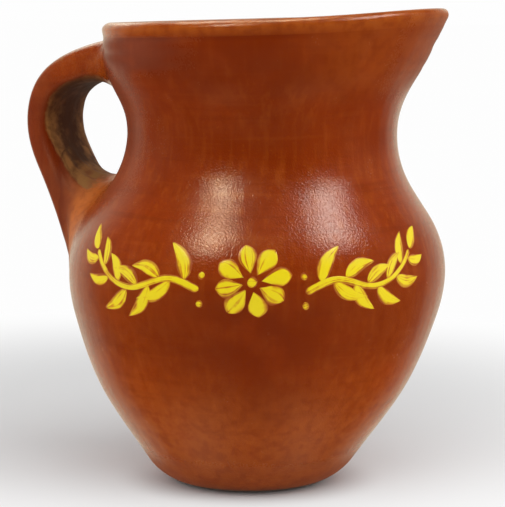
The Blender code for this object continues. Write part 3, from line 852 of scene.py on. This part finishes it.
def painted(name, material, layers):
    points, faces, film, bristle, first = [], [], [], [], 0
    for p, f, a, b in layers:
        points.append(p), film.append(a), bristle.append(b)
        quads = np.array([q if len(q) == 4 else (*q, q[-1]) for q in f])
        x, y, z, w = (p[quads[:, i]] for i in range(4))
        if (np.einsum("ij,ij->i", x, np.cross(y, z)) + np.einsum("ij,ij->i", x, np.cross(z, w))).sum() < 0:
            f = [q[::-1] for q in f]
        faces += [tuple(i + first for i in q) for q in f]
        first += len(p)
    obj = make(name, np.concatenate(points), faces, sharp=60,
               floats={"film": np.concatenate(film), "bristle": np.concatenate(bristle)})
    return adopt(obj, None, material)


painted("sprig_underlayer", AMBER, [
    stroke(path, width * 1.12, 0.05, shape, 100 + i, (0.30 * (-1) ** i, 0.28 * math.cos(2.4 * i))) for i, (path, width, shape) in enumerate(marks)])
painted("sprig_paint", YELLOW, [
    stroke(path, width, 0.13, shape, 300 + i) for i, (path, width, shape) in enumerate(marks)])


# ---- studio -------------------------------------------------------------------------
AZIMUTH = math.radians(27.0)
TO_BACK = Vector((-math.sin(AZIMUTH), math.cos(AZIMUTH), 0.0))      # away from the camera, level
TO_RIGHT = Vector((math.cos(AZIMUTH), math.sin(AZIMUTH), 0.0))

mesh = bpy.data.meshes.new("studio_floor")
span = 9.0
mesh.from_pydata([(-span, -span, 0), (span, -span, 0), (span, span, 0), (-span, span, 0)], [], [(0, 1, 2, 3)])
floor = bpy.data.objects.new("studio_floor", mesh)
bpy.context.scene.collection.objects.link(floor)
# Painted light on the floor: seen by the camera it glows white away from the jug and shows its own shading only in a
# soft shadow shape centred behind the jug and close round the foot; to other rays it is a pale floor that glows
# faintly, a painted bounce of light onto the jug.
m = Maker("studio_floor")
spot = m.node("ShaderNodeTexCoord").outputs["Object"]
shade = TO_BACK * 0.15 - TO_RIGHT * 0.03          # middle of the painted soft shadow
off = m.node("ShaderNodeVectorMath", {0: spot, 1: tuple(shade)}, operation="SUBTRACT").outputs[0]
far = m.node("ShaderNodeVectorMath", {0: off}, operation="LENGTH").outputs[1]
m.shader.inputs["Base Color"].default_value = (0.61, 0.61, 0.61, 1.0)
m.shader.inputs["Roughness"].default_value = 0.9
m.shader.inputs["Specular IOR Level"].default_value = 0.0
glow = m.node("ShaderNodeEmission", {"Color": (1.0, 1.0, 1.0, 1.0), "Strength": 0.985})
near = m.ramp(m.node("ShaderNodeVectorMath", {0: spot}, operation="LENGTH").outputs[1], 0.024, 0.052)
eye = m.node("ShaderNodeMixShader", {0: m.math("MULTIPLY", m.ramp(far, 0.08, 0.285), near), 1: m.shader.outputs[0], 2: glow.outputs[0]})
pale = m.node("ShaderNodeBsdfDiffuse", {"Color": (0.90, 0.90, 0.90, 1.0)})
bounce = m.node("ShaderNodeEmission", {"Color": (1.0, 0.97, 0.93, 1.0), "Strength": 0.14})
throw = m.node("ShaderNodeAddShader", {0: pale.outputs[0], 1: bounce.outputs[0]})
seen = m.node("ShaderNodeLightPath").outputs["Is Camera Ray"]
both = m.node("ShaderNodeMixShader", {0: seen, 1: throw.outputs[0], 2: eye.outputs[0]})
m.put(m.tree.nodes["Material Output"].inputs["Surface"], both.outputs[0])
floor.visible_glossy = False        # gloss on the jug mirrors the studio alone
mesh.materials.append(m.material)

world = bpy.data.worlds.new("studio")
bpy.context.scene.world = world
world.use_nodes = True
tree = world.node_tree
tree.nodes.clear()
way = tree.nodes.new("ShaderNodeTexCoord").outputs["Generated"]
dot = tree.nodes.new("ShaderNodeVectorMath")
dot.operation = "DOT_PRODUCT"
tree.links.new(way, dot.inputs[0])
dot.inputs[1].default_value = TO_BACK
fade = tree.nodes.new("ShaderNodeMapRange")
fade.interpolation_type = "SMOOTHSTEP"
behind = tree.nodes.new("ShaderNodeVectorMath")     # the brightest part of the backdrop lies a little to the left
behind.operation = "DOT_PRODUCT"
tree.links.new(way, behind.inputs[0])
behind.inputs[1].default_value = TO_BACK * 0.985 - TO_RIGHT * 0.09
tree.links.new(behind.outputs["Value"], fade.inputs[0])
for i, value in enumerate((0.34, 0.86, 0.02, 1.0)):
    fade.inputs[i + 1].default_value = value
split = tree.nodes.new("ShaderNodeSeparateXYZ")
tree.links.new(way, split.inputs[0])
low = tree.nodes.new("ShaderNodeMapRange")
low.interpolation_type = "SMOOTHSTEP"
tree.links.new(split.outputs["Z"], low.inputs[0])
for i, value in enumerate((-0.45, -0.10, 0.80, 1.0)):
    low.inputs[i + 1].default_value = value
backdrop = tree.nodes.new("ShaderNodeMath")
backdrop.operation = "MULTIPLY"
tree.links.new(fade.outputs[0], backdrop.inputs[0])
tree.links.new(low.outputs[0], backdrop.inputs[1])
beside = tree.nodes.new("ShaderNodeVectorMath")     # the pale table, seen in the gloss low on both sides and from below
beside.operation = "DOT_PRODUCT"
tree.links.new(way, beside.inputs[0])
beside.inputs[1].default_value = -TO_RIGHT
apart = tree.nodes.new("ShaderNodeMath")
apart.operation = "ABSOLUTE"
tree.links.new(beside.outputs["Value"], apart.inputs[0])
parts = []
for source, values in ((apart.outputs[0], (0.05, 0.42, 0.0, 0.55)), (split.outputs["Z"], (-0.72, -0.90, 0.0, 1.0)),
                       (split.outputs["Z"], (-0.80, -0.95, 0.0, 0.26))):
    part = tree.nodes.new("ShaderNodeMapRange")
    part.interpolation_type = "SMOOTHSTEP"
    tree.links.new(source, part.inputs[0])
    for i, value in enumerate(values):
        part.inputs[i + 1].default_value = value
    parts.append(part.outputs[0])
table = tree.nodes.new("ShaderNodeMath")
table.operation = "MULTIPLY_ADD"
for i, source in enumerate(parts):
    tree.links.new(source, table.inputs[i])
mirrored = tree.nodes.new("ShaderNodeMath")
mirrored.operation = "MAXIMUM"
tree.links.new(backdrop.outputs[0], mirrored.inputs[0])
tree.links.new(table.outputs[0], mirrored.inputs[1])
path = tree.nodes.new("ShaderNodeLightPath")
gloss = tree.nodes.new("ShaderNodeMix")
gloss.data_type = "FLOAT"
tree.links.new(path.outputs["Is Glossy Ray"], gloss.inputs[0])
ambient = tree.nodes.new("ShaderNodeMapRange")      # the white backdrop lights the sides, the camera's side is darker
tree.links.new(dot.outputs["Value"], ambient.inputs[0])
for i, value in enumerate((-0.7, 0.8, 0.34, 0.86)):
    ambient.inputs[i + 1].default_value = value
tree.links.new(ambient.outputs[0], gloss.inputs[2])
tree.links.new(mirrored.outputs[0], gloss.inputs[3])
pick = tree.nodes.new("ShaderNodeMix")
pick.data_type = "FLOAT"
tree.links.new(path.outputs["Is Camera Ray"], pick.inputs[0])
tree.links.new(gloss.outputs[0], pick.inputs[2])
pick.inputs[3].default_value = 0.99
sky = tree.nodes.new("ShaderNodeBackground")
tone = tree.nodes.new("ShaderNodeMix")
tone.data_type = "RGBA"
tree.links.new(path.outputs["Is Glossy Ray"], tone.inputs[0])
tone.inputs[6].default_value, tone.inputs[7].default_value = (1.0, 1.0, 1.0, 1.0), (1.0, 0.96, 0.76, 1.0)
tree.links.new(tone.outputs[2], sky.inputs["Color"])
tree.links.new(pick.outputs[0], sky.inputs["Strength"])
tree.links.new(sky.outputs[0], tree.nodes.new("ShaderNodeOutputWorld").inputs["Surface"])


def direction(turn, lift_angle):
    """Unit vector from the jug; turn is from the camera's side, to the right."""
    a, e = math.radians(27.0 + turn), math.radians(lift_angle)
    return Vector((math.sin(a) * math.cos(e), -math.cos(a) * math.cos(e), math.sin(e)))


def softbox(name, low, high, distance, width, power, tint=(1.0, 1.0, 1.0)):
    """A rectangle of light facing the jug, its long side running between two directions."""
    a, b = direction(*low) * distance, direction(*high) * distance
    data = bpy.data.lights.new(name, "AREA")
    data.shape, data.size, data.size_y, data.energy, data.color = "RECTANGLE", width, (b - a).length, power, tint
    obj = bpy.data.objects.new(name, data)
    bpy.context.scene.collection.objects.link(obj)
    out, along = ((a + b) / 2).normalized(), (b - a).normalized()
    turn = Matrix((along.cross(out), along, out)).transposed()
    obj.matrix_world = Matrix.Translation(Vector((0, 0, 0.09)) + (a + b) / 2) @ turn.to_4x4()
    obj.visible_camera = False
    return obj


for light in (softbox("strip_left", (-35, 38), (-42, 59), 1.1, 0.15, 9.0, (1.0, 1.0, 1.0)),
              softbox("strip_right", (60, 36), (66, 58), 1.1, 0.32, 9.5, (0.96, 1.04, 1.32)),
              softbox("strip_top", (-60, 80), (120, 80), 1.1, 0.30, 7.0, (1.0, 0.96, 0.80)),
              softbox("strip_back", (-168, 22), (-148, 34), 1.1, 0.16, 0.5, (1.0, 0.96, 0.80)),
              softbox("strip_crown", (-160, 58), (-110, 66), 1.1, 0.30, 5.0, (1.0, 0.96, 0.80))):
    light.visible_diffuse = False
for light in (softbox("overhead", (14, 42), (14, 84), 1.5, 1.5, 13.0),
              softbox("fill_left", (-118, 14), (-72, 14), 1.6, 0.9, 7.5),
              softbox("fill_right", (72, 14), (118, 14), 1.6, 0.9, 9.0)):
    light.visible_glossy = False

view = bpy.context.scene.view_settings
view.view_transform = "Standard"
view.look = "None"
view.exposure, view.gamma = 0.0, 1.0

# ---- camera -------------------------------------------------------------------------
DISTANCE, EYE, PITCH, SIDEWAYS = 816.0, 183.6, 0.1209, 1.0
FOCAL_PX, FRAME_W, FRAME_H = 2210.7, 505, 507
data = bpy.data.cameras.new("camera")
data.sensor_fit, data.sensor_width = "AUTO", 36.0
data.lens = 36.0 * FOCAL_PX / max(FRAME_W, FRAME_H)
data.clip_start, data.clip_end = 0.02, 60.0
camera = bpy.data.objects.new("camera", data)
bpy.context.scene.collection.objects.link(camera)
camera.location = (TO_RIGHT * SIDEWAYS - TO_BACK * DISTANCE) * MM + Vector((0, 0, EYE * MM))
aim = TO_BACK * math.cos(PITCH) - Vector((0, 0, math.sin(PITCH)))
camera.rotation_mode = "QUATERNION"
camera.rotation_quaternion = aim.to_track_quat("-Z", "Y")
bpy.context.scene.camera = camera

bpy.context.view_layer.update()
